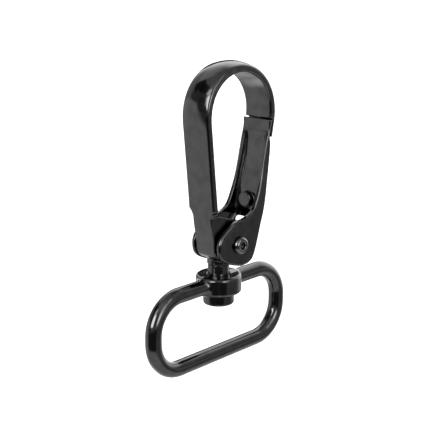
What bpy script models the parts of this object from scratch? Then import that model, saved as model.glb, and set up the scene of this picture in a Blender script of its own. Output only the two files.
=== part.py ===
"""Swivel snap hook for 38 mm webbing.

A flat cast band bent into a hook, a spring gate that straddles its base, and a strap loop that turns on a
pin below the base. Lengths are in millimetres and become metres as each mesh is made.
Axes: +Z up, X across the hook towards the gate, Y across the width of the band.
The origin is the saddle: the top of the hook's inside, where the ring that carries it bears.
"""

import math

import bmesh
import bpy
from mathutils import Matrix, Vector

MM = 0.001

# Driving dimensions of the strap loop.
STRAP_WIDTH = 38.0
STRAP_SLOT_HEIGHT = 13.5
BAR_RADIUS = 1.85
LOOP_CORNER_RADIUS = 7.8
BAR_FLARE_RADIUS = 2.25
BAR_FLARE_START = 8.0
HUB_RADIUS = 5.3
HUB_HALF_HEIGHT = 2.15
HUB_BORE_RADIUS = 2.6
HUB_EDGE = 0.8

# Driving dimensions of the hook's band.
ARCH_INNER_RADIUS = 9.65
BAND_THICKNESS = 1.8
BAND_HALF_WIDTH = 3.95
BAND_EDGE_ROUND = 0.45
ARCH_CROWN = 0.7
LEG_SLOPE_DEG = 5.5
LEG_LENGTH = 19.0
NOSE_END_DEG = -11.8
NOSE_CUT_DEG = -9.5
# How far each side of the arch departs from its circle: (degrees, change of radius).
OUTER_CHANGES = ((-12.0, 0.0), (35.0, 0.6), (65.0, 0.6), (140.0, 0.85), (150.0, 0.8), (186.0, 0.0))
INNER_CHANGES = ((-10.0, -0.15), (30.0, -0.12), (90.0, 0.0), (145.0, 0.18), (186.0, 0.0))
LIP_LENGTH = 3.85
LIP_THICKNESS = 0.75

# The swivel axis and the hub's centre, from the saddle.
SWIVEL_X = -3.7
HUB_Z = -48.15

# The base block, the gate's pivot and the rivet, from the swivel axis and the hub's centre.
BASE_HALF_WIDTH = 2.85
BASE_SHOULDER_Z = 16.4
PIVOT_X = 2.25
PIVOT_Z = 9.25
RIVET_RADIUS = 1.25
RIVET_HOLE_RADIUS = 1.33
RIVET_HEAD_RADIUS = 2.05
RIVET_HEAD_HEIGHT = 1.1
RIVET_HOLLOW_RADIUS = 0.95
RIVET_HOLLOW_DEPTH = 1.3

# The gate.
EAR_HALF_WIDTH = 4.5
TIP_HALF_WIDTH = 4.1
TAPER_LOW_Z = 19.5
TAPER_HIGH_Z = 27.5
FLANGE_THICKNESS = 1.0
WEB_FOOT_Z = 13.6
TROUGH_HALF_WIDTH = 3.0
GATE_EDGE_ROUND = 0.25
TIP_GAP = 0.2
LIP_GAP = 0.15
BOSS_RADIUS = 1.8
BOSS_HEIGHT = 1.3
BOSS_Z = 18.0
BOSS_TILT_DEG = 6.0

# The swivel pin.
PIN_NECK_RADIUS = 2.5
PIN_HEAD_RADIUS = 3.6
PIN_HEAD_TOP = -2.3
PIN_HEAD_BOTTOM = -4.9
PIN_SHOULDER_Z = 4.6
PIN_SHANK_RADIUS = 1.75
PIN_SHANK_TOP = 6.8
PIN_BOSS_RADIUS = 2.65
FIT_GAP = 0.08

# The gate spring, wound round the rivet beside the base.
SPRING_WIRE_RADIUS = 0.25
SPRING_COIL_RADIUS = 1.62
SPRING_TURNS = 2.25
SPRING_START_Y = 1.63
SPRING_PITCH = 0.51
SPRING_LEG_END_X = -1.3
SPRING_POCKET_RADIUS = 2.0
SPRING_POCKET_Y = 1.35

ARCH_CENTRE = Vector((0.0, -ARCH_INNER_RADIUS))
ARCH_OUTER_RADIUS = ARCH_INNER_RADIUS + BAND_THICKNESS
PIVOT = Vector((SWIVEL_X + PIVOT_X, HUB_Z + PIVOT_Z))


def clear_scene():
    for old in list(bpy.data.objects):
        bpy.data.objects.remove(old, do_unlink=True)


def metal(name, colour, roughness):
    material = bpy.data.materials.new(name)
    material.use_nodes = True
    shader = material.node_tree.nodes["Principled BSDF"]
    shader.inputs["Base Color"].default_value = (*colour, 1.0)
    shader.inputs["Roughness"].default_value = roughness
    shader.inputs["Metallic"].default_value = 1.0
    return material


def from_swivel(x, z):
    """A point of the XZ plane given from the swivel axis and the hub's centre."""
    return Vector((SWIVEL_X + x, HUB_Z + z))


def on_circle(centre, radius, degrees):
    angle = math.radians(degrees)
    return centre + radius * Vector((math.cos(angle), math.sin(angle)))


def arc(centre, radius, start_deg, end_deg, count):
    steps = range(count + 1)
    return [on_circle(centre, radius, start_deg + (end_deg - start_deg) * i / count) for i in steps]


def smooth_path(points, steps):
    """A Catmull-Rom curve through the points, which keeps its two ends."""
    padded = [2 * points[0] - points[1]] + list(points) + [2 * points[-1] - points[-2]]
    path = []
    for a, b, c, d in zip(padded, padded[1:], padded[2:], padded[3:]):
        for i in range(steps):
            t = i / steps
            path.append(0.5 * (2 * b + (c - a) * t + (2 * a - 5 * b + 4 * c - d) * t ** 2
                               + (3 * b - a - 3 * c + d) * t ** 3))
    path.append(points[-1].copy())
    return path


def arch_side(radius, changes, start_deg, end_deg, count):
    """One side of the arch: its radius changes smoothly by the (degrees, change) pairs."""
    side = []
    for i in range(count + 1):
        degrees = start_deg + (end_deg - start_deg) * i / count
        change = changes[-1][1]
        for (low, first), (high, second) in zip(changes, changes[1:]):
            if low <= degrees <= high:
                t = (degrees - low) / (high - low)
                change = first + (second - first) * t * t * (3 - 2 * t)
        side.append(on_circle(ARCH_CENTRE, radius + change, degrees))
    return side


def line_meets_circle(point, direction, centre, radius):
    """The first point along a line, from a point inside a circle, that lies on the circle."""
    offset = point - centre
    along = offset.dot(direction)
    reach = math.sqrt(along ** 2 - offset.length_squared + radius ** 2)
    return point + (reach - along) * direction


def add_object(name, mesh_data, material):
    mesh = bpy.data.meshes.new(name)
    bmesh.ops.recalc_face_normals(mesh_data, faces=mesh_data.faces)
    bmesh.ops.scale(mesh_data, vec=(MM, MM, MM), verts=mesh_data.verts)
    mesh_data.to_mesh(mesh)
    mesh_data.free()
    mesh.shade_smooth()
    mesh.set_sharp_from_angle(angle=math.radians(35))
    if material is not None:
        mesh.materials.append(material)
    new_object = bpy.data.objects.new(name, mesh)
    bpy.context.collection.objects.link(new_object)
    return new_object


def plate(name, outline, low_y, high_y, material=None):
    """A solid with the outline in XZ, from low_y to high_y."""
    work = bmesh.new()
    corners = [work.verts.new((p.x, low_y, p.y)) for p in outline]
    face = work.faces.new(corners)
    swept = bmesh.ops.extrude_face_region(work, geom=[face])
    moved = [item for item in swept["geom"] if isinstance(item, bmesh.types.BMVert)]
    bmesh.ops.translate(work, vec=(0.0, high_y - low_y, 0.0), verts=moved)
    return add_object(name, work, material)


def side_block(name, section, side, reach):
    """A block with its (y, z) section on one side, which runs along X past both ends of the part."""
    work = bmesh.new()
    corners = [work.verts.new((SWIVEL_X - reach, side * y, z)) for y, z in section]
    swept = bmesh.ops.extrude_face_region(work, geom=[work.faces.new(corners)])
    moved = [item for item in swept["geom"] if isinstance(item, bmesh.types.BMVert)]
    bmesh.ops.translate(work, vec=(3 * reach, 0.0, 0.0), verts=moved)
    return add_object(name, work, None)


def turned(name, profile, material=None, sides=40, place=Matrix.Identity(4), ring=False):
    """A solid turned about local Z from (radius, height) points.

    An open profile starts and ends on the axis. A ring profile closes on itself, off the axis.
    """
    work = bmesh.new()
    rows = []
    for radius, height in profile:
        count = sides if radius > 0.0 else 1
        row = []
        for i in range(count):
            angle = 2.0 * math.pi * i / sides
            row.append(work.verts.new((radius * math.cos(angle), radius * math.sin(angle), height)))
        rows.append(row)
    pairs = list(zip(rows, rows[1:]))
    if ring:
        pairs.append((rows[-1], rows[0]))
    for first, second in pairs:
        for i in range(sides):
            j = (i + 1) % sides
            corners = [first[i % len(first)], first[j % len(first)],
                       second[j % len(second)], second[i % len(second)]]
            work.faces.new(list(dict.fromkeys(corners)))
    bmesh.ops.transform(work, matrix=place, verts=work.verts)
    return add_object(name, work, material)


def swept_bar(name, path, radius_at, sides, material=None):
    """A round bar along 3-D points, with flat ends and a radius that may change along it."""
    work = bmesh.new()
    last = len(path) - 1
    side_axis = None
    rows = []
    for i, point in enumerate(path):
        run = (path[min(i + 1, last)] - path[max(i - 1, 0)]).normalized()
        if side_axis is None:
            side_axis = run.orthogonal().normalized()
        side_axis = (side_axis - run * side_axis.dot(run)).normalized()
        other_axis = run.cross(side_axis)
        row = []
        for k in range(sides):
            angle = 2.0 * math.pi * k / sides
            spoke = math.cos(angle) * side_axis + math.sin(angle) * other_axis
            row.append(work.verts.new(point + radius_at(point) * spoke))
        rows.append(row)
    for first, second in zip(rows, rows[1:]):
        for k in range(sides):
            m = (k + 1) % sides
            work.faces.new((first[k], first[m], second[m], second[k]))
    work.faces.new(rows[0])
    work.faces.new(list(reversed(rows[-1])))
    return add_object(name, work, material)


def round_edges(target, width, segments):
    bevel = target.modifiers.new("edge round", "BEVEL")
    bevel.width = width * MM
    bevel.segments = segments
    bevel.limit_method = "ANGLE"
    bevel.angle_limit = math.radians(50)


def combine(target, helper, operation):
    boolean = target.modifiers.new(operation.lower() + " " + helper.name, "BOOLEAN")
    boolean.operation = operation
    boolean.solver = "EXACT"
    boolean.object = helper
    helper.hide_render = True
    helper.display_type = "WIRE"


def along_y(x, y, z):
    """Places a turned solid with its axis along Y, at a point given in the XZ plane and along Y."""
    return Matrix.Translation((x, y, z)) @ Matrix.Rotation(math.radians(-90), 4, "X")


def upright(x, z):
    return Matrix.Translation((x, 0.0, z))


def rod_profile(radius, low, high):
    return [(0.0, low), (radius, low), (radius, high), (0.0, high)]


def lip_line():
    """A point on the lip's inner face, and the direction up the lip."""
    outward = on_circle(Vector((0.0, 0.0)), 1.0, NOSE_END_DEG)
    foot = ARCH_CENTRE + (ARCH_OUTER_RADIUS - LIP_THICKNESS) * outward
    return foot, Vector((-outward.y, outward.x))


def nose_corner():
    """Where the arch's inside ends, at the joint with the gate."""
    return arch_side(ARCH_INNER_RADIUS, INNER_CHANGES, NOSE_CUT_DEG, NOSE_CUT_DEG, 1)[0]


def nose_radius():
    """How far the joint between nose and gate lies from the gate's pivot."""
    return (nose_corner() - PIVOT).length


def hook_outline():
    """The band and its base block seen along Y, from the lip's end anticlockwise."""
    leg_deg = 180.0 + LEG_SLOPE_DEG
    lip_foot, up_lip = lip_line()
    lip_outer_end = on_circle(ARCH_CENTRE, ARCH_OUTER_RADIUS, NOSE_END_DEG) - LIP_LENGTH * up_lip
    down_leg = on_circle(Vector((0.0, 0.0)), 1.0, leg_deg + 90.0)
    leg_foot = on_circle(ARCH_CENTRE, ARCH_OUTER_RADIUS, leg_deg) + LEG_LENGTH * down_leg
    leg_inner_foot = leg_foot + BAND_THICKNESS * Vector((-down_leg.y, down_leg.x))
    shoulder_end = line_meets_circle(lip_foot, up_lip, PIVOT, nose_radius())
    shoulder_deg = math.degrees(math.atan2(shoulder_end.y - PIVOT.y, shoulder_end.x - PIVOT.x))
    corner = nose_corner()
    corner_deg = math.degrees(math.atan2(corner.y - PIVOT.y, corner.x - PIVOT.x))
    heel = smooth_path([leg_foot, from_swivel(-5.2, 14.0), from_swivel(-4.55, 10.5),
                        from_swivel(-4.3, 8.2)], 4)
    sole = smooth_path([from_swivel(-4.3, 8.2), from_swivel(-3.5, 6.9), from_swivel(-1.6, 6.0),
                        from_swivel(2.6, 5.4)], 3)
    toe = arc(from_swivel(2.6, 9.4), 4.0, -90.0, 60.0, 12)
    top = smooth_path([from_swivel(3.2, 14.7), from_swivel(0.2, 15.75), from_swivel(-2.3, 16.6),
                       from_swivel(-3.6, 17.6), leg_inner_foot], 4)
    outline = [lip_outer_end]
    outline += arch_side(ARCH_OUTER_RADIUS, OUTER_CHANGES, NOSE_END_DEG, leg_deg, 44)
    outline += heel + sole[1:-1] + toe + top
    outline += arch_side(ARCH_INNER_RADIUS, INNER_CHANGES, leg_deg, NOSE_CUT_DEG, 40)
    outline += arc(PIVOT, nose_radius(), corner_deg, shoulder_deg, 3)[1:]
    outline.append(lip_foot - LIP_LENGTH * up_lip)
    return outline


def crown_arch(hook):
    """Rounds the arch's outside across its width, so that it is highest along the middle."""
    beyond = BAND_HALF_WIDTH + 0.3
    edge_radius = ARCH_OUTER_RADIUS + 0.15
    profile = []
    for i in range(9):
        y = beyond * (i - 4) / 4
        profile.append((edge_radius + ARCH_CROWN * (1 - (y / BAND_HALF_WIDTH) ** 2), y))
    profile += [(edge_radius + 4.0, beyond), (edge_radius + 4.0, -beyond)]
    place = along_y(ARCH_CENTRE.x, 0.0, ARCH_CENTRE.y)
    ring = turned("arch_crown", profile, sides=128, place=place, ring=True)
    below = plate("below_arch", [Vector((-30.0, -40.0)), Vector((30.0, -40.0)),
                                 Vector((30.0, ARCH_CENTRE.y)), Vector((-30.0, ARCH_CENTRE.y))],
                  -2 * beyond, 2 * beyond)
    combine(ring, below, "DIFFERENCE")
    combine(hook, ring, "DIFFERENCE")


def make_hook_body(material):
    """The cast hook: band, nose lip, base block and the boss round the swivel pin."""
    hook = plate("hook_body", hook_outline(), -BAND_HALF_WIDTH, BAND_HALF_WIDTH, material)
    round_edges(hook, BAND_EDGE_ROUND, 2)
    crown_arch(hook)
    far = 3 * BAND_HALF_WIDTH
    shoulder = HUB_Z + BASE_SHOULDER_Z
    for side in (-1, 1):
        section = [(BASE_HALF_WIDTH, HUB_Z), (BASE_HALF_WIDTH, shoulder),
                   (BASE_HALF_WIDTH + 0.35, shoulder + 1.1), (far, shoulder + 2.4), (far, HUB_Z)]
        combine(hook, side_block(f"ear_recess_{side}", section, side, far), "DIFFERENCE")
    boss_profile = [(0.0, PIN_SHOULDER_Z + FIT_GAP), (PIN_BOSS_RADIUS, PIN_SHOULDER_Z + FIT_GAP),
                    (PIN_BOSS_RADIUS + 0.1, PIN_SHOULDER_Z + 0.6), (PIN_BOSS_RADIUS + 0.17, 6.4),
                    (PIN_BOSS_RADIUS + 0.1, 7.6), (0.0, 7.6)]
    combine(hook, turned("pin_boss", boss_profile, place=upright(SWIVEL_X, HUB_Z)), "UNION")
    bore = rod_profile(PIN_SHANK_RADIUS + FIT_GAP, 0.0, PIN_SHANK_TOP + FIT_GAP)
    combine(hook, turned("pin_bore", bore, place=upright(SWIVEL_X, HUB_Z)), "DIFFERENCE")
    hole = rod_profile(RIVET_HOLE_RADIUS, -far, far)
    combine(hook, turned("rivet_bore", hole, place=along_y(PIVOT.x, 0.0, PIVOT.y)), "DIFFERENCE")
    floor = PIVOT_Z - SPRING_POCKET_RADIUS
    pocket = arc(PIVOT, SPRING_POCKET_RADIUS, 180.0, 217.0, 5)
    pocket += [from_swivel(SPRING_LEG_END_X - 0.3, floor + 0.8), from_swivel(SPRING_LEG_END_X - 0.3, floor),
               from_swivel(PIVOT_X + 9.0, floor), from_swivel(PIVOT_X + 9.0, BASE_SHOULDER_Z),
               from_swivel(PIVOT_X - 1.2, BASE_SHOULDER_Z)]
    combine(hook, plate("spring_pocket", pocket, SPRING_POCKET_Y, far), "DIFFERENCE")
    return hook


def make_swivel_pin(material):
    """The headed pin that carries the strap loop. Its shank is held in the base."""
    profile = [(0.0, PIN_HEAD_BOTTOM), (PIN_HEAD_RADIUS - 0.7, PIN_HEAD_BOTTOM),
               (PIN_HEAD_RADIUS - 0.2, PIN_HEAD_BOTTOM + 0.22), (PIN_HEAD_RADIUS, PIN_HEAD_BOTTOM + 0.75),
               (PIN_HEAD_RADIUS, PIN_HEAD_TOP - 0.15), (PIN_HEAD_RADIUS - 0.15, PIN_HEAD_TOP),
               (PIN_NECK_RADIUS, PIN_HEAD_TOP), (PIN_NECK_RADIUS, PIN_SHOULDER_Z),
               (PIN_SHANK_RADIUS, PIN_SHOULDER_Z), (PIN_SHANK_RADIUS, 5.5), (PIN_SHANK_RADIUS - 0.3, 5.8),
               (PIN_SHANK_RADIUS - 0.3, 6.2), (PIN_SHANK_RADIUS, 6.5), (PIN_SHANK_RADIUS, PIN_SHANK_TOP),
               (0.0, PIN_SHANK_TOP)]
    return turned("swivel_pin", profile, material, place=upright(SWIVEL_X, HUB_Z))


def loop_path():
    """The centre line of the strap loop's bar, from one side of the hub round to the other."""
    half_length = STRAP_WIDTH / 2 + BAR_RADIUS
    drop = STRAP_SLOT_HEIGHT + 2 * BAR_RADIUS
    inset = half_length - LOOP_CORNER_RADIUS
    end = (HUB_RADIUS + HUB_BORE_RADIUS) / 2
    top = LOOP_CORNER_RADIUS
    right = [Vector((end, 0.0)), Vector((HUB_RADIUS, 0.0)), Vector((HUB_RADIUS + 0.9, 0.0)),
             Vector((HUB_RADIUS + 1.8, 0.0)), Vector((BAR_FLARE_START, 0.0))]
    right += arc(Vector((inset, -top)), LOOP_CORNER_RADIUS, 90.0, 0.0, 12)
    right += arc(Vector((inset, top - drop)), LOOP_CORNER_RADIUS, 0.0, -90.0, 12)
    left = [Vector((-p.x, p.y)) for p in reversed(right)]
    return [Vector((SWIVEL_X + p.x, 0.0, HUB_Z + p.y)) for p in right + left]


def bar_radius(point):
    """The bar thickens where it runs into the hub."""
    if point.z < HUB_Z - BAR_RADIUS:
        return BAR_RADIUS
    out = abs(point.x - SWIVEL_X)
    flare = min(max((BAR_FLARE_START - out) / (BAR_FLARE_START - HUB_RADIUS), 0.0), 1.0)
    return BAR_RADIUS + (BAR_FLARE_RADIUS - BAR_RADIUS) * flare ** 2


def make_strap_loop(material):
    """The cast hub that turns on the pin, and the bar that the webbing goes round."""
    low = -HUB_HALF_HEIGHT
    high = HUB_HALF_HEIGHT
    corner = 0.3 * HUB_EDGE
    profile = [(HUB_BORE_RADIUS, low), (HUB_RADIUS - HUB_EDGE, low), (HUB_RADIUS - corner, low + corner),
               (HUB_RADIUS, low + HUB_EDGE), (HUB_RADIUS, high - HUB_EDGE),
               (HUB_RADIUS - corner, high - corner), (HUB_RADIUS - HUB_EDGE, high), (HUB_BORE_RADIUS, high)]
    loop = turned("strap_loop", profile, material, sides=48, place=upright(SWIVEL_X, HUB_Z), ring=True)
    combine(loop, swept_bar("loop_bar", loop_path(), bar_radius, 20), "UNION")
    return loop


def gate_back():
    """The gate's outer face seen along Y, from under the pivot up to the tip."""
    lip_foot, up_lip = lip_line()
    inward = Vector((-up_lip.y, up_lip.x))
    beside_lip = lip_foot + LIP_GAP * inward
    tip = line_meets_circle(beside_lip, up_lip, PIVOT, nose_radius() - TIP_GAP)
    return smooth_path([from_swivel(3.2, 4.0), from_swivel(5.3, 4.25), from_swivel(6.7, 4.95),
                        from_swivel(7.75, 6.6), from_swivel(9.0, 10.2), from_swivel(10.55, 15.5),
                        from_swivel(11.7, 21.0), from_swivel(12.75, 26.5), from_swivel(13.2, 31.0),
                        beside_lip - 0.9 * LIP_LENGTH * up_lip, tip], 3)


def gate_outline():
    """One side flange with its ear, seen along Y, from under the pivot anticlockwise."""
    tip_deg = math.degrees(math.atan2(gate_back()[-1].y - PIVOT.y, gate_back()[-1].x - PIVOT.x))
    tip = arc(PIVOT, nose_radius() - TIP_GAP, tip_deg, tip_deg + 1.85, 3)
    ear = smooth_path([from_swivel(2.0, 15.0), from_swivel(0.4, 14.55), from_swivel(-1.6, 13.4),
                       from_swivel(-3.3, 12.2), from_swivel(-4.2, 10.8), from_swivel(-4.4, 9.3),
                       from_swivel(-4.05, 7.6), from_swivel(-3.0, 6.35), from_swivel(-1.1, 5.35),
                       from_swivel(1.0, 4.6), gate_back()[0]], 3)
    rim = smooth_path([tip[-1], from_swivel(12.7, 34.6), from_swivel(11.87, 31.5),
                       from_swivel(10.9, 27.4), from_swivel(9.9, 23.2), from_swivel(9.1, 20.8),
                       from_swivel(8.0, 18.2), from_swivel(6.9, 16.6), from_swivel(5.3, 15.6),
                       from_swivel(3.4, 15.05), ear[0]], 3)
    return gate_back() + tip[1:] + rim[1:-1] + ear[:-1]


def trough_floor():
    """The floor of the trough in the gate's inner face, from the web's foot up to the tip pad."""
    foot = arc(from_swivel(10.35, WEB_FOOT_Z + 0.75), 0.75, 250.0, 180.0, 3)
    return foot + smooth_path([from_swivel(9.62, 15.4), from_swivel(9.75, 16.6), from_swivel(9.98, 18.4),
                               from_swivel(10.4, 20.8), from_swivel(11.0, 23.2), from_swivel(11.6, 25.4),
                               from_swivel(12.2, 28.0), from_swivel(12.55, 30.5), from_swivel(12.7, 32.2),
                               from_swivel(12.5, 33.5)], 2)


def floor_at(z):
    """The point of the trough's floor nearest to a height above the hub's centre."""
    return min(trough_floor(), key=lambda p: abs(p.y - HUB_Z - z))


def gate_hollow(top):
    """What is open between the flanges up to a height: all but the web and the tip pad."""
    floor = [p for p in trough_floor() if p.y < HUB_Z + top]
    right = 20.0
    left = -12.0
    return [from_swivel(left, 0.0), from_swivel(right, 0.0), from_swivel(right, WEB_FOOT_Z)] + floor + [
        Vector((SWIVEL_X + left, floor[-1].y + 2.0))]


def make_gate(material):
    """The cast gate: a trough with a solid tip, an ear on each side of the base and a small boss."""
    gate = plate("gate", gate_outline(), -EAR_HALF_WIDTH, EAR_HALF_WIDTH, material)
    far = 3 * EAR_HALF_WIDTH
    for side in (-1, 1):
        section = [(EAR_HALF_WIDTH, HUB_Z + TAPER_LOW_Z), (TIP_HALF_WIDTH, HUB_Z + TAPER_HIGH_Z),
                   (TIP_HALF_WIDTH, 0.0), (far, 0.0), (far, HUB_Z + TAPER_LOW_Z)]
        combine(gate, side_block(f"gate_taper_{side}", section, side, far), "DIFFERENCE")
    round_edges(gate, GATE_EDGE_ROUND, 2)
    inner = EAR_HALF_WIDTH - FLANGE_THICKNESS
    combine(gate, plate("ear_hollow", gate_hollow(19.0), -inner, inner), "DIFFERENCE")
    trough = plate("gate_trough", gate_hollow(40.0), -TROUGH_HALF_WIDTH, TROUGH_HALF_WIDTH)
    combine(gate, trough, "DIFFERENCE")
    hole = rod_profile(RIVET_HOLE_RADIUS, -far, far)
    combine(gate, turned("ear_bore", hole, place=along_y(PIVOT.x, 0.0, PIVOT.y)), "DIFFERENCE")
    turn = Matrix.Rotation(math.radians(-90 + BOSS_TILT_DEG), 4, "Y")
    profile = [(0.0, -0.4), (BOSS_RADIUS, -0.4), (BOSS_RADIUS, BOSS_HEIGHT - 0.25),
               (BOSS_RADIUS - 0.25, BOSS_HEIGHT), (0.0, BOSS_HEIGHT)]
    place = Matrix.Translation((floor_at(BOSS_Z).x, 0.0, HUB_Z + BOSS_Z)) @ turn
    combine(gate, turned("gate_boss", profile, sides=28, place=place), "UNION")
    return gate


def make_gate_rivet(material):
    """The tubular rivet through ears and base, with a rolled head at each end."""
    face = EAR_HALF_WIDTH + FIT_GAP
    end = face + RIVET_HEAD_HEIGHT
    half = [(0.0, end - RIVET_HOLLOW_DEPTH), (RIVET_HOLLOW_RADIUS - 0.1, end - RIVET_HOLLOW_DEPTH),
            (RIVET_HOLLOW_RADIUS, end - 0.2), (RIVET_HOLLOW_RADIUS + 0.25, end),
            (RIVET_HEAD_RADIUS - 0.5, end), (RIVET_HEAD_RADIUS - 0.15, end - 0.25),
            (RIVET_HEAD_RADIUS, face + 0.4), (RIVET_HEAD_RADIUS - 0.1, face), (RIVET_RADIUS, face)]
    profile = half + [(radius, -height) for radius, height in reversed(half)]
    return turned("gate_rivet", profile, material, sides=32, place=along_y(PIVOT.x, 0.0, PIVOT.y))


def spring_path():
    """The torsion spring: a leg in the base, the coil round the rivet, and a leg that pushes the gate."""
    coil = []
    steps = int(SPRING_TURNS * 20)
    for i in range(steps + 1):
        turn = SPRING_TURNS * i / steps
        spot = on_circle(PIVOT, SPRING_COIL_RADIUS, 270.0 + 360.0 * turn)
        coil.append(Vector((spot.x, SPRING_START_Y + SPRING_PITCH * turn, spot.y)))
    anchor = Vector((SWIVEL_X + SPRING_LEG_END_X, coil[0].y, coil[0].z))
    web = floor_at(WEB_FOOT_Z + 0.8)
    touch = Vector((web.x - SPRING_WIRE_RADIUS - 0.3, coil[-1].y, web.y))
    knee = coil[-1] + Vector((0.1, 0.0, 0.6))
    return [anchor, coil[0].lerp(anchor, 0.5)] + coil + [knee, knee.lerp(touch, 0.1), touch]


def make_gate_spring(material):
    return swept_bar("gate_spring", spring_path(), lambda point: SPRING_WIRE_RADIUS, 6, material)


def build():
    clear_scene()
    cast = metal("cast black nickel", (0.045, 0.046, 0.05), 0.12)
    turned_steel = metal("turned black nickel", (0.05, 0.05, 0.055), 0.16)
    rolled = metal("rolled black nickel", (0.09, 0.09, 0.095), 0.2)
    spring_steel = metal("spring steel", (0.35, 0.35, 0.36), 0.3)
    make_hook_body(cast)
    make_swivel_pin(turned_steel)
    make_strap_loop(cast)
    make_gate(cast)
    make_gate_rivet(rolled)
    make_gate_spring(spring_steel)


build()
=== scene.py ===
"""Swivel snap hook: smooth cast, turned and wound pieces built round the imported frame.

The two castings and the strap loop are written as distance fields, so their edges, fillets and flares are
real rounded geometry. Lengths are in millimetres, from the saddle at the top of the hook's inside, and
become metres as each mesh is made.
"""

import math

import bpy
import numpy as np
from mathutils import Matrix, Vector


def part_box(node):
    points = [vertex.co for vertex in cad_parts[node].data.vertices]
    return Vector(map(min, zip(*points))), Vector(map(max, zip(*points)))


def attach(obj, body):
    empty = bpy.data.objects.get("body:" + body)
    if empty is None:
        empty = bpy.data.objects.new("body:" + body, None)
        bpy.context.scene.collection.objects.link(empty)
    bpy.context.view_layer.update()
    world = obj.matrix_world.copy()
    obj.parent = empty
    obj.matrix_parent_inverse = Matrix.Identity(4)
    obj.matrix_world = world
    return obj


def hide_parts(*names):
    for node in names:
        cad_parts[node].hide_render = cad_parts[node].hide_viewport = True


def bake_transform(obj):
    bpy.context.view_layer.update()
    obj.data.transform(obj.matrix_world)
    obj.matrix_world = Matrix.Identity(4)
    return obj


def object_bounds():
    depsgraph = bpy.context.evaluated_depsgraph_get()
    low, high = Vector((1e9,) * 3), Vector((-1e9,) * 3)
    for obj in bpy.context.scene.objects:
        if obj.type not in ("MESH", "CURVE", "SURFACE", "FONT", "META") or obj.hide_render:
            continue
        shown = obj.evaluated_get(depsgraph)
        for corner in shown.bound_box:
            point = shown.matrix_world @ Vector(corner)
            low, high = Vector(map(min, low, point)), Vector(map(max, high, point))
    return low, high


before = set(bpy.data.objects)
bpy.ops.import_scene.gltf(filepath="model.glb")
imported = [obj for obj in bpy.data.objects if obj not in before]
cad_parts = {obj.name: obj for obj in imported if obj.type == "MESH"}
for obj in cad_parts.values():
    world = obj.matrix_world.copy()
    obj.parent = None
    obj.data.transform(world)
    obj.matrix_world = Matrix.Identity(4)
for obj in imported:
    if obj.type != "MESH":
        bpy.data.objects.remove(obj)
cad_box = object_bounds()

MM = 0.001

# The swivel axis, the hub's centre and the gate's pivot, from the saddle.
SWIVEL_X = -3.7
HUB_Z = -48.15
PIVOT = Vector((-1.45, -38.9))

# The hook's band, nose lip and base.
ARCH_INNER = 9.65
BAND_THICKNESS = 1.8
BAND_HALF_WIDTH = 3.95
ARCH_OUTER = ARCH_INNER + BAND_THICKNESS
ARCH_CENTRE = Vector((0.0, -ARCH_INNER))
LEG_SLOPE_DEG = 5.5
LEG_LENGTH = 19.0
NOSE_END_DEG = -11.8
NOSE_CUT_DEG = -9.5
# How far each side of the arch departs from its circle: (degrees, change of radius).
OUTER_CHANGES = ((-12.0, 0.0), (65.0, -0.1), (142.0, 0.15), (186.0, 0.0))
INNER_CHANGES = ((-10.0, -0.15), (30.0, -0.12), (90.0, 0.0), (145.0, 0.18), (186.0, 0.0))
LIP_LENGTH = 3.85
LIP_THICKNESS = 0.75
ARCH_CROWN = 0.7
BASE_HALF_WIDTH = 2.85
BASE_SHOULDER_Z = 16.4
BASE_STEP = 0.35
COLLAR_RADIUS = 2.68
COLLAR_LOW_Z = 4.68
COLLAR_TOP_Z = 7.4
PIN_BORE_RADIUS = 1.83
PIN_BORE_TOP_Z = 6.9
RIVET_HOLE_RADIUS = 1.33
# The coil spring lies in a pocket in the base's far side, and its lower leg in a slot beside it.
POCKET_RADIUS = 2.0
POCKET_FLOOR_Y = 1.35
SLOT_DROP = 1.6
SLOT_HALF_HEIGHT = 0.4

# The gate. Heights are above the hub's centre.
EAR_HALF_WIDTH = 4.5
TIP_HALF_WIDTH = 4.1
FLANGE_THICKNESS = 1.1
WEB_FOOT_Z = 13.6
TIP_GAP = 0.32
LIP_GAP = 0.5
BOSS_RADIUS = 1.8
BOSS_HEIGHT = 1.3
BOSS_Z = 18.0
BOSS_TILT_DEG = 6.0
TAPER_LOW_Z = 17.5
TAPER_HIGH_Z = 27.5

# The strap loop, the pin, the rivet and the spring.
BAR_RADIUS = 1.85
LOOP_CORNER = 7.8
LOOP_INSIDE_LENGTH = 38.0
LOOP_INSIDE_HEIGHT = 13.5
HUB_RADIUS = 5.3
HUB_HALF_HEIGHT = 2.15
HUB_BORE_RADIUS = 2.6
PIN_PROFILE = ((0.0, -4.9, 0), (3.6, -4.9, 0.55), (3.6, -2.3, 0.2), (2.5, -2.3, 0.1), (2.5, 4.6, 0.1),
               (1.75, 4.6, 0), (1.75, 6.8, 0), (0.0, 6.8, 0))
RIVET_HALF_PROFILE = ((0.0, 4.85, 0), (0.78, 4.85, 0.1), (0.9, 5.5, 0.15), (1.3, 5.68, 0.3),
                      (2.05, 5.35, 0.6), (2.08, 4.62, 0.1), (1.25, 4.58, 0))
WIRE_RADIUS = 0.25
COIL_RADIUS = 1.62
COIL_TURNS = 2.25
COIL_PITCH = 0.51
COIL_START_Y = 1.63


# ---------------------------------------------------------------- plane curves


def from_swivel(x, z):
    """A point of the XZ plane given from the swivel axis and the hub's centre."""
    return Vector((SWIVEL_X + x, HUB_Z + z))


def on_circle(centre, radius, degrees):
    angle = math.radians(degrees)
    return centre + radius * Vector((math.cos(angle), math.sin(angle)))


def arc(centre, radius, start_deg, end_deg, count):
    return [on_circle(centre, radius, start_deg + (end_deg - start_deg) * i / count)
            for i in range(count + 1)]


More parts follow.
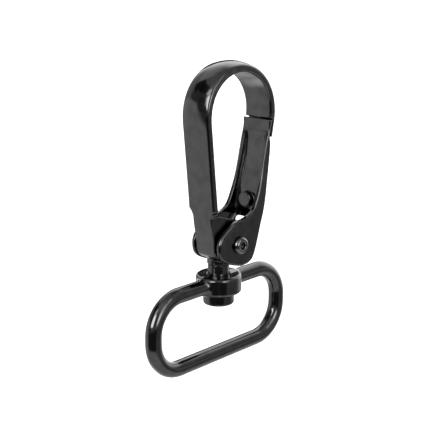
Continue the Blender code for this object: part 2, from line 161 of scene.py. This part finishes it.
def smooth_path(points, steps):
    """A Catmull-Rom curve through the points, which keeps its two ends."""
    padded = [2 * points[0] - points[1]] + list(points) + [2 * points[-1] - points[-2]]
    path = []
    for a, b, c, d in zip(padded, padded[1:], padded[2:], padded[3:]):
        for i in range(steps):
            t = i / steps
            path.append(0.5 * (2 * b + (c - a) * t + (2 * a - 5 * b + 4 * c - d) * t ** 2
                               + (3 * b - a - 3 * c + d) * t ** 3))
    path.append(points[-1].copy())
    return path


def arch_side(radius, changes, start_deg, end_deg, count):
    """One side of the arch: its radius changes smoothly by the (degrees, change) pairs."""
    side = []
    for i in range(count + 1):
        degrees = start_deg + (end_deg - start_deg) * i / count
        change = changes[-1][1]
        for (low, first), (high, second) in zip(changes, changes[1:]):
            if low <= degrees <= high:
                t = (degrees - low) / (high - low)
                change = first + (second - first) * t * t * (3 - 2 * t)
        side.append(on_circle(ARCH_CENTRE, radius + change, degrees))
    return side


def line_meets_circle(point, direction, centre, radius):
    offset = point - centre
    along = offset.dot(direction)
    reach = math.sqrt(along ** 2 - offset.length_squared + radius ** 2)
    return point + (reach - along) * direction


def lip_line():
    outward = on_circle(Vector((0.0, 0.0)), 1.0, NOSE_END_DEG)
    return ARCH_CENTRE + (ARCH_OUTER - LIP_THICKNESS) * outward, Vector((-outward.y, outward.x))


def nose_corner():
    """Where the arch's inside ends, at the joint with the gate."""
    return arch_side(ARCH_INNER, INNER_CHANGES, NOSE_CUT_DEG, NOSE_CUT_DEG, 1)[0]


def nose_radius():
    """How far the joint between nose and gate lies from the gate's pivot."""
    return (nose_corner() - PIVOT).length


def hook_outline():
    """The band and its base block seen along Y, from the lip's end anticlockwise."""
    leg_deg = 180.0 + LEG_SLOPE_DEG
    lip_foot, up_lip = lip_line()
    down_leg = on_circle(Vector((0.0, 0.0)), 1.0, leg_deg + 90.0)
    leg_foot = on_circle(ARCH_CENTRE, ARCH_OUTER, leg_deg) + LEG_LENGTH * down_leg
    leg_inner_foot = leg_foot + BAND_THICKNESS * Vector((-down_leg.y, down_leg.x))
    shoulder_end = line_meets_circle(lip_foot, up_lip, PIVOT, nose_radius())
    shoulder_deg = math.degrees(math.atan2(shoulder_end.y - PIVOT.y, shoulder_end.x - PIVOT.x))
    corner = nose_corner()
    corner_deg = math.degrees(math.atan2(corner.y - PIVOT.y, corner.x - PIVOT.x))
    heel = smooth_path([leg_foot, from_swivel(-5.2, 14.0), from_swivel(-4.55, 10.5),
                        from_swivel(-4.3, 8.2)], 10)
    sole = smooth_path([from_swivel(-4.3, 8.2), from_swivel(-3.5, 6.9), from_swivel(-1.6, 6.0),
                        from_swivel(2.6, 5.4)], 8)
    toe = arc(from_swivel(2.6, 9.4), 4.0, -90.0, 60.0, 30)
    top = smooth_path([from_swivel(3.2, 14.7), from_swivel(0.2, 15.75), from_swivel(-2.3, 16.6),
                       from_swivel(-3.6, 17.6), leg_inner_foot], 8)
    outline = [on_circle(ARCH_CENTRE, ARCH_OUTER, NOSE_END_DEG) - LIP_LENGTH * up_lip]
    outline += arch_side(ARCH_OUTER, OUTER_CHANGES, NOSE_END_DEG, leg_deg, 120)
    outline += heel + sole[1:-1] + toe + top
    outline += arch_side(ARCH_INNER, INNER_CHANGES, leg_deg, NOSE_CUT_DEG, 110)
    outline += arc(PIVOT, nose_radius(), corner_deg, shoulder_deg, 4)[1:]
    outline.append(lip_foot - LIP_LENGTH * up_lip)
    return outline


def gate_back():
    """The gate's outer face seen along Y, from under the pivot up to the tip."""
    lip_foot, up_lip = lip_line()
    beside_lip = lip_foot + LIP_GAP * Vector((-up_lip.y, up_lip.x))
    tip = line_meets_circle(beside_lip, up_lip, PIVOT, nose_radius() - TIP_GAP)
    return smooth_path([from_swivel(3.2, 4.0), from_swivel(5.3, 4.25), from_swivel(6.7, 4.95),
                        from_swivel(7.75, 6.6), from_swivel(9.0, 10.2), from_swivel(10.55, 15.5),
                        from_swivel(11.7, 21.0), from_swivel(12.75, 26.5), from_swivel(13.2, 31.0),
                        beside_lip - 0.9 * LIP_LENGTH * up_lip, tip], 10)


def gate_outline():
    """One side flange with its ear, seen along Y, from under the pivot anticlockwise."""
    back = gate_back()
    tip_deg = math.degrees(math.atan2(back[-1].y - PIVOT.y, back[-1].x - PIVOT.x))
    tip = arc(PIVOT, nose_radius() - TIP_GAP, tip_deg, tip_deg + 1.85, 4)
    ear = smooth_path([from_swivel(2.0, 15.0), from_swivel(0.4, 14.55), from_swivel(-1.6, 13.4),
                       from_swivel(-3.3, 12.2), from_swivel(-4.2, 10.8), from_swivel(-4.4, 9.3),
                       from_swivel(-4.05, 7.6), from_swivel(-3.0, 6.35), from_swivel(-1.1, 5.35),
                       from_swivel(1.0, 4.6), gate_back()[0]], 10)
    rim = smooth_path([tip[-1], from_swivel(12.7, 34.6), from_swivel(11.87, 31.5),
                       from_swivel(10.9, 27.4), from_swivel(9.9, 23.2), from_swivel(9.1, 20.8),
                       from_swivel(8.0, 18.2), from_swivel(6.9, 16.6), from_swivel(5.3, 15.6),
                       from_swivel(3.4, 15.05), ear[0]], 10)
    return back + tip[1:] + rim[1:-1] + ear[:-1]


def trough_floor():
    """The floor of the trough in the gate's inner face, from the web's foot up to the tip pad."""
    foot = arc(from_swivel(9.98, WEB_FOOT_Z + 0.38), 0.38, 260.0, 180.0, 12)
    return foot + smooth_path([from_swivel(9.62, 15.4), from_swivel(9.75, 16.6), from_swivel(9.98, 18.4),
                               from_swivel(10.4, 20.8), from_swivel(11.0, 23.2), from_swivel(11.6, 25.4),
                               from_swivel(12.2, 28.0), from_swivel(12.55, 30.5), from_swivel(12.7, 32.2),
                               from_swivel(12.5, 33.5)], 10)


def gate_hollow():
    """What is open between the flanges: all but the web and the tip pad."""
    floor = trough_floor()
    left = -12.0
    return [from_swivel(left, 0.0), from_swivel(20.0, 0.0), from_swivel(20.0, WEB_FOOT_Z)] + floor + [
        Vector((SWIVEL_X + left, floor[-1].y + 2.0))]


def loop_path():
    """The centre line of the strap loop's bar, as a closed rounded rectangle through the hub."""
    half_length = LOOP_INSIDE_LENGTH / 2 + BAR_RADIUS
    drop = LOOP_INSIDE_HEIGHT + 2 * BAR_RADIUS
    inset = half_length - LOOP_CORNER
    right = arc(Vector((inset, -LOOP_CORNER)), LOOP_CORNER, 90.0, 0.0, 40)
    right += arc(Vector((inset, LOOP_CORNER - drop)), LOOP_CORNER, 0.0, -90.0, 40)
    path = right + [Vector((-p.x, p.y)) for p in reversed(right)]
    return [Vector((SWIVEL_X + p.x, HUB_Z + p.y)) for p in path]


def spring_path():
    """The gate spring's wire: a leg in the base's slot, the coil, and a leg up to the gate's web."""
    coil = []
    count = 135
    for i in range(count + 1):
        turn = COIL_TURNS * i / count
        spot = on_circle(PIVOT, COIL_RADIUS, 270.0 + 360.0 * turn)
        coil.append(Vector((spot.x, COIL_START_Y + COIL_PITCH * turn, spot.y)))
    anchor = Vector((SWIVEL_X - 1.3, coil[0].y, coil[0].z))
    touch_z = HUB_Z + WEB_FOOT_Z + 0.8
    web = min(trough_floor(), key=lambda p: abs(p.y - touch_z))
    touch = Vector((web.x - WIRE_RADIUS - 0.3, coil[-1].y, touch_z))
    knee = coil[-1] + Vector((0.1, 0.0, 0.6))
    lower_leg = [anchor.lerp(coil[0], t / 6) for t in range(6)]
    upper_leg = [knee.lerp(touch, t / 12) for t in range(13)]
    return lower_leg + coil + upper_leg


# ---------------------------------------------------------------- distance fields


def outline_distance(x, z, outline):
    """Signed distance in the XZ plane to a closed outline, negative inside."""
    corners = np.array([(p.x, p.y) for p in outline])
    shape = np.broadcast(x, z).shape
    nearest = np.full(shape, 1e9)
    inside = np.zeros(shape, bool)
    for (ax, az), (bx, bz) in zip(corners, np.roll(corners, -1, axis=0)):
        ex, ez = bx - ax, bz - az
        length = ex * ex + ez * ez
        if length < 1e-12:
            continue
        t = np.clip(((x - ax) * ex + (z - az) * ez) / length, 0.0, 1.0)
        nearest = np.minimum(nearest, (x - ax - ex * t) ** 2 + (z - az - ez * t) ** 2)
        if bz != az:
            inside ^= ((az > z) != (bz > z)) & (x < ex * (z - az) / (bz - az) + ax)
    return np.where(inside, -1.0, 1.0) * np.sqrt(nearest)


def path_distance(x, z, path):
    """Distance in the XZ plane to a closed path."""
    corners = np.array([(p.x, p.y) for p in path])
    nearest = np.full(np.broadcast(x, z).shape, 1e9)
    for (ax, az), (bx, bz) in zip(corners, np.roll(corners, -1, axis=0)):
        ex, ez = bx - ax, bz - az
        length = ex * ex + ez * ez
        if length < 1e-12:
            continue
        t = np.clip(((x - ax) * ex + (z - az) * ez) / length, 0.0, 1.0)
        nearest = np.minimum(nearest, (x - ax - ex * t) ** 2 + (z - az - ez * t) ** 2)
    return np.sqrt(nearest)


def rounded_both(a, b, radius):
    """Where a and b both hold, with the edge between them rounded."""
    a = a + radius
    b = b + radius
    return np.minimum(np.maximum(a, b), 0.0) + np.hypot(np.maximum(a, 0.0), np.maximum(b, 0.0)) - radius


def either(a, b, fillet):
    """The union of two solids with a fillet between them."""
    near = np.maximum(fillet - np.abs(a - b), 0.0) / fillet
    return np.minimum(a, b) - near * near * fillet * 0.25


def without(a, b, edge):
    """Solid a with b cut away, and the cut's edge eased."""
    near = np.maximum(edge - np.abs(a + b), 0.0) / edge
    return np.maximum(a, -b) + near * near * edge * 0.25


def ramp(value, low, high):
    t = np.clip((value - low) / (high - low), 0.0, 1.0)
    return t * t * (3.0 - 2.0 * t)


def hook_field(x, y, z):
    """The cast hook: band, nose lip, narrow base and the collar round the swivel pin."""
    across = np.abs(y)
    height = z - HUB_Z
    plane = outline_distance(x, z, HOOK_OUTLINE)

    # The arch's outside is highest along the middle, and the whole band is a little crowned.
    middle = (ARCH_INNER + ARCH_OUTER) / 2
    outer_side = ramp(np.hypot(x - ARCH_CENTRE.x, z - ARCH_CENTRE.y), middle - 0.25, middle + 0.45)
    outer_side = outer_side * ramp(z, -14.0, -3.5)
    toward_edge = (across / BAND_HALF_WIDTH) ** 2
    plane = plane - ARCH_CROWN * outer_side * (1.0 - toward_edge)
    plane = plane + 0.12 * toward_edge * ramp(z, -34.0, -29.0)

    # The band narrows to the base in two soft steps, so that the gate can straddle it.
    shoulder = HUB_Z + BASE_SHOULDER_Z
    half = BASE_HALF_WIDTH + BASE_STEP * ramp(z, shoulder, shoulder + 1.1)
    half = half + (BAND_HALF_WIDTH - BASE_HALF_WIDTH - BASE_STEP) * ramp(z, shoulder + 0.9, shoulder + 1.9)
    body = rounded_both(plane, across - half, 0.25 + 0.25 * ramp(z, -33.0, -28.0))

    from_axis = np.hypot(x - SWIVEL_X, y)
    collar_ends = np.maximum(COLLAR_LOW_Z - height, height - COLLAR_TOP_Z)
    body = either(body, rounded_both(from_axis - COLLAR_RADIUS, collar_ends, 0.15), 0.5)

    bore = np.maximum(from_axis - PIN_BORE_RADIUS, height - PIN_BORE_TOP_Z)
    from_pivot = np.hypot(x - PIVOT.x, z - PIVOT.y)
    slot = np.maximum(np.abs(z - PIVOT.y + SLOT_DROP) - SLOT_HALF_HEIGHT, x - PIVOT.x)
    slot = np.maximum(slot, SWIVEL_X - 1.6 - x)
    # The spring's upper leg needs the whole height from the coil up to the shoulder.
    opening = np.maximum(PIVOT.y - POCKET_RADIUS - z, PIVOT.x - 1.2 - x)
    opening = np.maximum(opening, z - shoulder)
    room = np.minimum(np.minimum(from_pivot - POCKET_RADIUS, slot), opening)
    for cut in (bore, from_pivot - RIVET_HOLE_RADIUS, np.maximum(room, POCKET_FLOOR_Y - y)):
        body = without(body, cut, 0.12)
    return body


def gate_field(x, y, z):
    """The cast gate: a trough with a solid tip, two ears and a small boss."""
    across = np.abs(y)
    height = z - HUB_Z
    half = EAR_HALF_WIDTH + (TIP_HALF_WIDTH - EAR_HALF_WIDTH) * ramp(height, TAPER_LOW_Z, TAPER_HIGH_Z)
    inner = half - FLANGE_THICKNESS + 0.12 * ramp(height, 15.0, 17.0)
    # The ears' edges are worn rounder than the rest.
    easing = 0.28 + 0.27 * ramp(height, 16.0, 13.0)
    outer = rounded_both(outline_distance(x, z, GATE_OUTLINE), across - half, easing)
    hollow = rounded_both(outline_distance(x, z, GATE_HOLLOW), across - inner, 0.85)
    body = without(outer, hollow, 0.25)

    # The boss stands on the web, tipped a little upward.
    tilt = math.radians(BOSS_TILT_DEG)
    web_x = min(trough_floor(), key=lambda p: abs(p.y - HUB_Z - BOSS_Z)).x
    dx, dz = x - web_x, z - (HUB_Z + BOSS_Z)
    out = -dx * math.cos(tilt) + dz * math.sin(tilt)
    up = dx * math.sin(tilt) + dz * math.cos(tilt)
    boss = rounded_both(np.hypot(up, y) - BOSS_RADIUS, np.maximum(out - BOSS_HEIGHT, -0.5 - out), 0.25)
    body = either(body, boss, 0.3)
    return without(body, np.hypot(x - PIVOT.x, z - PIVOT.y) - RIVET_HOLE_RADIUS, 0.12)


def loop_field(x, y, z):
    """The cast hub and the round bar that the webbing goes round."""
    radius = np.hypot(x - SWIVEL_X, y)
    hub = rounded_both(radius - HUB_RADIUS, np.abs(z - HUB_Z) - HUB_HALF_HEIGHT, 0.7)
    bar = np.hypot(path_distance(x, z, LOOP_PATH), y) - BAR_RADIUS
    body = either(hub, bar, 1.3)
    bore = np.maximum(radius - HUB_BORE_RADIUS, np.abs(z - HUB_Z) - 3.0)
    return without(body, bore, 0.2)


# ---------------------------------------------------------------- meshes


def surface_net(field, low, step):
    """Quads round the zero level of a sampled field, one vertex in each cell that it crosses."""
    cells = tuple(n - 1 for n in field.shape)
    total = np.zeros(cells + (3,))
    count = np.zeros(cells)
    crossings = []
    for axis in range(3):
        first = np.take(field, range(field.shape[axis] - 1), axis)
        second = np.take(field, range(1, field.shape[axis]), axis)
        spots = np.argwhere((first < 0.0) != (second < 0.0))
        f0 = first[tuple(spots.T)]
        f1 = second[tuple(spots.T)]
        point = spots.astype(float)
        point[:, axis] += f0 / (f0 - f1)
        u, v = [(1, 2), (2, 0), (0, 1)][axis]
        inner = np.ones(len(spots), bool)
        for other in (u, v):
            inner &= (spots[:, other] > 0) & (spots[:, other] < cells[other])
        spots, point, f0 = spots[inner], point[inner], f0[inner]
        ring = []
        for du, dv in ((1, 1), (0, 1), (0, 0), (1, 0)):
            cell = spots.copy()
            cell[:, u] -= du
            cell[:, v] -= dv
            np.add.at(total, tuple(cell.T), point)
            np.add.at(count, tuple(cell.T), 1.0)
            ring.append(np.ravel_multi_index(tuple(cell.T), cells))
        ring = np.array(ring).T
        ring[f0 > 0.0] = ring[f0 > 0.0][:, ::-1]
        crossings.append(ring)
    used = count.ravel() > 0
    number = np.cumsum(used) - 1
    points = total.reshape(-1, 3)[used] / count.ravel()[used][:, None]
    return low + points * step, number[np.concatenate(crossings)]


def gradient(field, points, reach):
    slope = np.empty_like(points)
    for axis in range(3):
        shift = np.zeros(3)
        shift[axis] = reach
        ahead = field(*(points + shift).T)
        behind = field(*(points - shift).T)
        slope[:, axis] = (ahead - behind) / (2.0 * reach)
    return slope


def cast_piece(name, field, low, high, step, material):
    """A mesh on the field's surface, with the field's own slope as its normals."""
    low = np.array(low) - 2.0 * step
    counts = np.ceil((np.array(high) + 2.0 * step - low) / step).astype(int) + 1
    x, y, z = [low[i] + step * np.arange(counts[i]) for i in range(3)]
    samples = field(x[:, None, None], y[None, :, None], z[None, None, :])
    points, quads = surface_net(samples, low, step)
    for _ in range(3):
        slope = gradient(field, points, 0.02)
        size = np.maximum((slope ** 2).sum(1), 0.25)
        move = slope * (field(*points.T) / size)[:, None]
        points = points - np.clip(move, -0.5 * step, 0.5 * step)
    normals = gradient(field, points, 0.06)
    normals /= np.maximum(np.linalg.norm(normals, axis=1), 1e-6)[:, None]
    mesh = bpy.data.meshes.new(name)
    mesh.from_pydata((points * MM).tolist(), [], quads.tolist())
    mesh.shade_smooth()
    mesh.normals_split_custom_set_from_vertices(normals.tolist())
    return new_piece(name, mesh, material)


def new_piece(name, mesh, material):
    mesh.materials.append(material)
    piece = bpy.data.objects.new(name, mesh)
    bpy.context.scene.collection.objects.link(piece)
    return piece


def rounded_profile(corners, steps=5):
    """(radius, height, rounding) corners as a fine (radius, height) outline with each corner rounded."""
    outline = []
    last = len(corners) - 1
    for i, (radius, height, rounding) in enumerate(corners):
        here = Vector((radius, height))
        if rounding == 0.0 or i in (0, last):
            outline.append(here)
            continue
        back = (Vector(corners[i - 1][:2]) - here).normalized()
        ahead = (Vector(corners[i + 1][:2]) - here).normalized()
        start = here + rounding * back
        end = here + rounding * ahead
        for k in range(steps + 1):
            t = k / steps
            outline.append((1 - t) ** 2 * start + 2 * t * (1 - t) * here + t ** 2 * end)
    return outline


def turned_piece(name, corners, place, material, sides=96):
    """A solid of revolution about local Z from the axis round to the axis again."""
    profile = rounded_profile(corners)
    points = []
    rows = []
    for spot in profile:
        count = sides if spot.x > 1e-6 else 1
        rows.append([len(points) + i for i in range(count)])
        for i in range(count):
            angle = 2.0 * math.pi * i / sides
            points.append(place @ Vector((spot.x * math.cos(angle), spot.x * math.sin(angle), spot.y)))
    faces = []
    for first, second in zip(rows, rows[1:]):
        for i in range(sides):
            j = (i + 1) % sides
            corner = [first[i % len(first)], first[j % len(first)],
                      second[j % len(second)], second[i % len(second)]]
            faces.append(list(dict.fromkeys(corner)))
    mesh = bpy.data.meshes.new(name)
    mesh.from_pydata([p * MM for p in points], [], faces)
    mesh.shade_smooth()
    mesh.set_sharp_from_angle(angle=math.radians(40))
    return new_piece(name, mesh, material)


def wire_piece(name, path, radius, material, sides=14):
    """A round wire along 3-D points, with domed ends."""
    points = []
    faces = []
    rows = []
    side_axis = None
    last = len(path) - 1
    for i, centre in enumerate(path):
        run = (path[min(i + 1, last)] - path[max(i - 1, 0)]).normalized()
        if side_axis is None:
            side_axis = run.orthogonal().normalized()
        side_axis = (side_axis - run * side_axis.dot(run)).normalized()
        other_axis = run.cross(side_axis)
        rows.append([])
        for k in range(sides):
            angle = 2.0 * math.pi * k / sides
            rows[-1].append(len(points))
            points.append(centre + radius * (math.cos(angle) * side_axis + math.sin(angle) * other_axis))
    for first, second in zip(rows, rows[1:]):
        for k in range(sides):
            m = (k + 1) % sides
            faces.append((first[k], first[m], second[m], second[k]))
    for row, centre, sign in ((rows[0], path[0], -1), (rows[-1], path[-1], 1)):
        tip = len(points)
        beyond = path[1] - path[0] if sign < 0 else path[-1] - path[-2]
        points.append(centre + sign * 0.35 * radius * beyond.normalized())
        for k in range(sides):
            m = (k + 1) % sides
            faces.append((tip, row[m], row[k]) if sign < 0 else (tip, row[k], row[m]))
    mesh = bpy.data.meshes.new(name)
    mesh.from_pydata([p * MM for p in points], [], faces)
    mesh.shade_smooth()
    return new_piece(name, mesh, material)


# ---------------------------------------------------------------- materials


def metal(name, tone, roughness, worn_tone, ripple, streaks):
    """Plated metal: soft ripples, fine streaks, smudges, and plating worn lighter along the edges."""
    material = bpy.data.materials.new(name)
    material.use_nodes = True
    nodes = material.node_tree.nodes
    links = material.node_tree.links
    shader = nodes["Principled BSDF"]
    shader.inputs["Metallic"].default_value = 1.0
    position = nodes.new("ShaderNodeTexCoord").outputs["Object"]

    def noise(per_metre, detail, stretch=(1.0, 1.0, 1.0)):
        mapping = nodes.new("ShaderNodeMapping")
        mapping.inputs["Scale"].default_value = stretch
        links.new(position, mapping.inputs["Vector"])
        node = nodes.new("ShaderNodeTexNoise")
        node.inputs["Scale"].default_value = per_metre
        node.inputs["Detail"].default_value = detail
        links.new(mapping.outputs["Vector"], node.inputs["Vector"])
        return node.outputs["Fac"]

    def ranged(value, low, high, out_low, out_high):
        node = nodes.new("ShaderNodeMapRange")
        node.inputs["From Min"].default_value = low
        node.inputs["From Max"].default_value = high
        node.inputs["To Min"].default_value = out_low
        node.inputs["To Max"].default_value = out_high
        links.new(value, node.inputs["Value"])
        return node.outputs["Result"]

    def compute(operation, first, second):
        node = nodes.new("ShaderNodeMath")
        node.operation = operation
        links.new(first, node.inputs[0])
        if isinstance(second, float):
            node.inputs[1].default_value = second
        else:
            links.new(second, node.inputs[1])
        return node.outputs[0]

    def bump(height, depth_mm, normal=None):
        node = nodes.new("ShaderNodeBump")
        node.inputs["Distance"].default_value = depth_mm * MM
        links.new(height, node.inputs["Height"])
        if normal is not None:
            links.new(normal, node.inputs["Normal"])
        return node.outputs["Normal"]

    smudges = noise(420.0, 4.0)
    fine = noise(1500.0, 3.0, streaks)
    edges = ranged(nodes.new("ShaderNodeNewGeometry").outputs["Pointiness"], 0.53, 0.6, 0.0, 1.0)
    worn = compute("MULTIPLY", edges, ranged(noise(900.0, 5.0), 0.4, 0.62, 0.15, 1.0))
    plating = nodes.new("ShaderNodeMix")
    plating.data_type = "RGBA"
    plating.inputs["A"].default_value = (*[0.88 * c for c in tone], 1.0)
    plating.inputs["B"].default_value = (*[1.14 * c for c in tone], 1.0)
    links.new(ranged(smudges, 0.35, 0.65, 0.0, 1.0), plating.inputs["Factor"])
    colour = nodes.new("ShaderNodeMix")
    colour.data_type = "RGBA"
    links.new(plating.outputs["Result"], colour.inputs["A"])
    colour.inputs["B"].default_value = (*worn_tone, 1.0)
    links.new(worn, colour.inputs["Factor"])
    links.new(colour.outputs["Result"], shader.inputs["Base Color"])
    rough = compute("ADD", ranged(smudges, 0.35, 0.7, 0.7 * roughness, 1.35 * roughness),
                    ranged(fine, 0.45, 0.75, 0.0, 0.5 * roughness))
    links.new(rough, shader.inputs["Roughness"])
    soft = bump(noise(230.0, 1.0), ripple)
    links.new(bump(fine, 0.0012, soft), shader.inputs["Normal"])
    return material


# ---------------------------------------------------------------- the studio

# What stands round the object: (name, azimuth, elevation, half width, half height, softness, brightness).
# Angles are in degrees as seen from the object. Later rows stand in front of earlier ones.
SURROUNDINGS = (
    ("white floor", 0, -90, 720, 58, 0.08, 0.95),
    ("floor beyond the object", 84, -57, 18, 9, 0.5, 2.2),
    ("ceiling beyond the object", 80, 52, 24, 14, 0.4, 1.2),
    ("backdrop", 20, 19, 44, 35, 0.3, 2.5),
    ("foot of the backdrop", 40, 10, 10, 11, 0.2, 0.9),
    ("dark table behind the object", 49, 9, 10, 14, 0.12, 0.05),
    ("wall on the left", 124, -12, 27, 26, 0.15, 1.1),
    ("dark room behind the camera", -150, -15, 59, 15, 0.2, 0.08),
    ("edge of the dark room", -60, -19, 27, 12, 0.35, 0.34),
    ("dim wall over the camera", -150, 20, 40, 18, 0.5, 0.3),
    ("dark flag on the right", -46, 16, 17, 11, 0.4, 0.4),
    ("grey ceiling on the left", 132, 63, 22, 8, 0.3, 0.6),
    ("grey flag on the left", 138, 28, 27, 14, 0.12, 0.25),
    ("dark corner of the room", 162, 14, 15, 17, 0.25, 0.16),
    ("dark flag overhead on the left", 129, 46, 23, 9, 0.15, 0.05),
    ("end of the dark flag", 112, 38, 11, 8, 0.3, 0.06),
    ("corner of the dark flag", 150, 47, 10, 9, 0.3, 0.08),
    ("softbox over the camera", -145, 62, 50, 14, 0.4, 0.9),
    ("softbox on the left", 187, 25, 17, 15, 0.2, 10.0),
    ("top of the left softbox", 175, 46, 12, 8, 0.25, 4.0),
    ("lit wall beside the right softbox", -80, 41, 9, 13, 0.3, 2.2),
    ("softbox on the right", -103, 24, 15, 20, 0.3, 2.7),
    ("lamp inside the right softbox", -106, 14, 8, 10, 0.5, 7.5),
)
OPEN_ROOM = 0.6


def studio_light(world):
    """The room as the metal reflects it; straight into the camera it is plain white."""
    world.use_nodes = True
    nodes = world.node_tree.nodes
    links = world.node_tree.links
    background = nodes["Background"]
    direction = nodes.new("ShaderNodeTexCoord").outputs["Generated"]

    def compute(operation, first, second=None):
        node = nodes.new("ShaderNodeMath")
        node.operation = operation
        for socket, value in zip(node.inputs, (first, second)):
            if isinstance(value, bpy.types.NodeSocket):
                links.new(value, socket)
            elif value is not None:
                socket.default_value = value
        return node.outputs[0]

    def along(axis):
        node = nodes.new("ShaderNodeVectorMath")
        node.operation = "DOT_PRODUCT"
        links.new(direction, node.inputs[0])
        node.inputs[1].default_value = axis
        return node.outputs["Value"]

    elevation = compute("ARCSINE", along((0.0, 0.0, 1.0)))
    light = OPEN_ROOM
    for name, azimuth, height, half_width, half_height, softness, brightness in SURROUNDINGS:
        angle = math.radians(azimuth)
        ahead = along((math.cos(angle), math.sin(angle), 0.0))
        aside = along((-math.sin(angle), math.cos(angle), 0.0))
        across = compute("DIVIDE", compute("ARCTAN2", aside, ahead), math.radians(half_width))
        up = compute("DIVIDE", compute("SUBTRACT", elevation, math.radians(height)),
                     math.radians(half_height))
        reach = compute("POWER", compute("ADD", compute("POWER", compute("ABSOLUTE", across), 4.0),
                                         compute("POWER", compute("ABSOLUTE", up), 4.0)), 0.25)
        edge = nodes.new("ShaderNodeMapRange")
        edge.interpolation_type = "SMOOTHSTEP"
        edge.inputs["From Min"].default_value = 1.0 - softness
        edge.inputs["From Max"].default_value = 1.0 + softness
        edge.inputs["To Min"].default_value = 1.0
        edge.inputs["To Max"].default_value = 0.0
        links.new(reach, edge.inputs["Value"])
        mix = nodes.new("ShaderNodeMix")
        mix.label = name
        links.new(edge.outputs["Result"], mix.inputs["Factor"])
        if isinstance(light, float):
            mix.inputs["A"].default_value = light
        else:
            links.new(light, mix.inputs["A"])
        mix.inputs["B"].default_value = brightness
        light = mix.outputs["Result"]
    seen = nodes.new("ShaderNodeMix")
    links.new(nodes.new("ShaderNodeLightPath").outputs["Is Camera Ray"], seen.inputs["Factor"])
    links.new(light, seen.inputs["A"])
    seen.inputs["B"].default_value = 1.0
    links.new(seen.outputs["Result"], background.inputs["Strength"])
    background.inputs["Color"].default_value = (1.0, 1.0, 1.0, 1.0)


# ---------------------------------------------------------------- the pieces

HOOK_OUTLINE = hook_outline()
GATE_OUTLINE = gate_outline()
GATE_HOLLOW = gate_hollow()
LOOP_PATH = loop_path()

cast = metal("cast black nickel", (0.07, 0.07, 0.072), 0.09, (0.11, 0.11, 0.11), 0.03, (1.0, 1.0, 0.25))
turned = metal("turned black nickel", (0.065, 0.065, 0.067), 0.12, (0.13, 0.13, 0.13), 0.004, (0.1, 0.1, 3.0))
rolled = metal("rolled black nickel", (0.09, 0.09, 0.092), 0.14, (0.24, 0.24, 0.24), 0.02, (1.0, 0.4, 1.0))
spring_steel = metal("spring steel", (0.2, 0.2, 0.21), 0.28, (0.4, 0.4, 0.4), 0.004, (1.0, 1.0, 1.0))


def bounds_mm(node):
    low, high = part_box(node)
    return low / MM, high / MM


hook = cast_piece("hook_cast", hook_field, *bounds_mm("hook_body"), 0.2, cast)
gate = cast_piece("gate_cast", gate_field, *bounds_mm("gate"), 0.18, cast)
loop = cast_piece("strap_loop_cast", loop_field, *bounds_mm("strap_loop"), 0.24, cast)
upright = Matrix.Translation((SWIVEL_X, 0.0, HUB_Z))
pin = turned_piece("swivel_pin_turned", PIN_PROFILE, upright, turned)
sideways = Matrix.Translation((PIVOT.x, 0.0, PIVOT.y)) @ Matrix.Rotation(math.radians(-90), 4, "X")
far_half = tuple((radius, -height, rounding) for radius, height, rounding in reversed(RIVET_HALF_PROFILE))
rivet = turned_piece("gate_rivet_rolled", RIVET_HALF_PROFILE + far_half, sideways, rolled)

spring = wire_piece("gate_spring_wound", spring_path(), WIRE_RADIUS, spring_steel)

for piece, node, body, slot in (
        (hook, "hook_body", "hook", "cast_black_nickel"),
        (pin, "swivel_pin", "hook", "turned_black_nickel"),
        (rivet, "gate_rivet", "hook", "rolled_black_nickel"),
        (gate, "gate", "gate", "cast_black_nickel"),
        (loop, "strap_loop", "loop", "cast_black_nickel")):
    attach(piece, body)
    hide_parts(node)
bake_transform(spring)
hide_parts("gate_spring")

# ---------------------------------------------------------------- the stage

low_corner, high_corner = cad_box
floor_z = low_corner[2] - 0.03
reach = 4.0
floor_mesh = bpy.data.meshes.new("floor")
floor_mesh.from_pydata([(-reach, -reach, floor_z), (reach, -reach, floor_z),
                        (reach, reach, floor_z), (-reach, reach, floor_z)], [], [(0, 1, 2, 3)])
floor = bpy.data.objects.new("floor", floor_mesh)
bpy.context.scene.collection.objects.link(floor)
paper = bpy.data.materials.new("floor paper")
paper.use_nodes = True
for socket, value in (("Base Color", (0.9, 0.9, 0.9, 1.0)), ("Roughness", 0.9),
                      ("Emission Color", (1.0, 1.0, 1.0, 1.0)), ("Emission Strength", 0.35)):
    paper.node_tree.nodes["Principled BSDF"].inputs[socket].default_value = value
floor.visible_glossy = False
floor_mesh.materials.append(paper)

world = bpy.data.worlds.new("studio")
bpy.context.scene.world = world
studio_light(world)

camera_data = bpy.data.cameras.new("camera")
camera_data.lens = 83.72
camera_data.sensor_width = 36.0
camera_data.clip_start = 0.01
camera = bpy.data.objects.new("camera", camera_data)
bpy.context.scene.collection.objects.link(camera)
right = Vector((0.683, -0.730, 0.0)).normalized()
forward = Vector((0.7065, 0.6608, -0.2515)).normalized()
up = right.cross(forward)
turn = Matrix((right, up, -forward)).transposed()
camera.matrix_world = Matrix.Translation((-0.1645, -0.1493, 0.0249)) @ turn.to_4x4()
bpy.context.scene.camera = camera
bpy.context.scene.view_settings.view_transform = "Standard"
bpy.context.scene.view_settings.look = "None"
